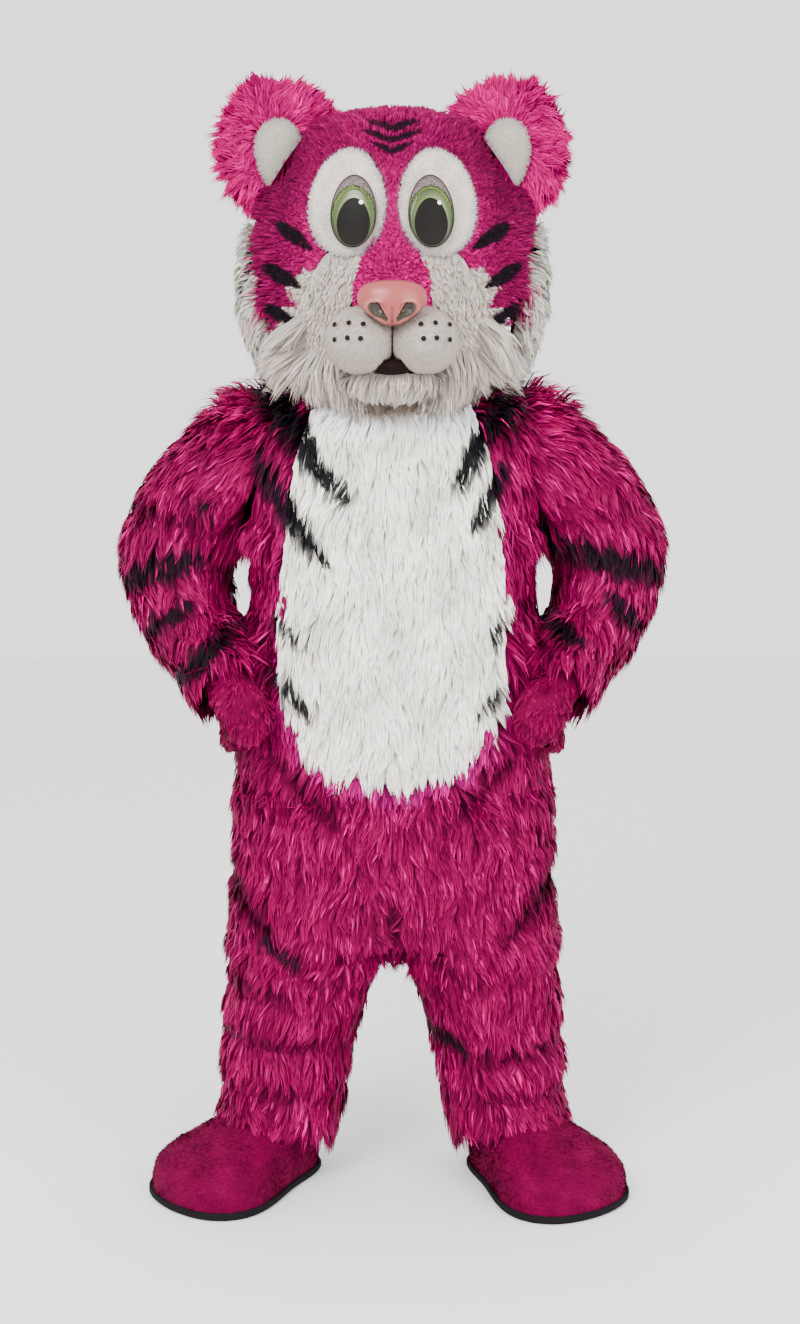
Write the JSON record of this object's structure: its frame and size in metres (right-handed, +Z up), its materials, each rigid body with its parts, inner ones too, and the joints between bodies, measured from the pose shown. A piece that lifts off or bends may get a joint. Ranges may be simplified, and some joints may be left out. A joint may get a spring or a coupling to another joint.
{
  "type": "tiger mascot costume",
  "caption": "Hollow worn tiger mascot costume in long pile faux fur: jumpsuit with belly panel, head with round ears and ruffs, gloves and padded foot covers.",
  "frame": {"origin": "between the wearer's shoulders at the height where the suit hangs on them, in the middle of the neck opening", "axes": "+Z up along the body, -Y the way the face looks, +X towards the wearer's left hand"},
  "size_m": [0.9588, 0.558, 1.9029],
  "materials": {
    "fur_magenta": "long pile magenta faux fur, satin",
    "pile_magenta": "short pile magenta faux fur, matte",
    "fur_white": "long pile off-white faux fur, satin",
    "pile_white": "short pile off-white faux fur, matte",
    "ear_lining": "short pale grey-green plush, matte",
    "eye_mesh": "white perforated see-through mesh, matte",
    "eye_green": "green painted iris, semi-gloss",
    "eye_black": "black see-through pupil, semi-gloss",
    "nose_vinyl": "salmon pink vinyl, satin",
    "mouth_dark": "dark mouth lining, matte",
    "sole_black": "black rubber sole, matte",
    "zip_tape": "woven zip tape, matte"
  },
  "bodies": {
    "root": {"back_zip": "zip_tape", "chin": "fur_white", "ear_left": "fur_magenta", "ear_lining_left": "ear_lining", "ear_lining_right": "ear_lining", "ear_right": "fur_magenta", "eye_iris_left": "eye_green", "eye_iris_right": "eye_green", "eye_mesh_left": "eye_mesh", "eye_mesh_right": "eye_mesh", "eye_patch_left": "pile_white", "eye_patch_right": "pile_white", "eye_pupil_left": "eye_black", "eye_pupil_right": "eye_black", "face_bridge": "pile_magenta", "face_cheek_left": "pile_magenta", "face_cheek_right": "pile_magenta", "face_jaw": "pile_white", "foot_sole_left": "sole_black", "foot_sole_right": "sole_black", "foot_upper_left": "pile_magenta", "foot_upper_right": "pile_magenta", "glove_left": "pile_magenta", "glove_right": "pile_magenta", "head_back": "fur_magenta", "mouth_liner": "mouth_dark", "muzzle_left": "pile_white", "muzzle_right": "pile_white", "nose": "nose_vinyl", "ruff_left": "fur_white", "ruff_right": "fur_white", "sleeve_left": "fur_magenta", "sleeve_right": "fur_magenta", "suit_back_left": "fur_magenta", "suit_back_right": "fur_magenta", "suit_belly": "fur_white", "suit_front_left": "fur_magenta", "suit_front_right": "fur_magenta"}
  },
  "joints": []
}
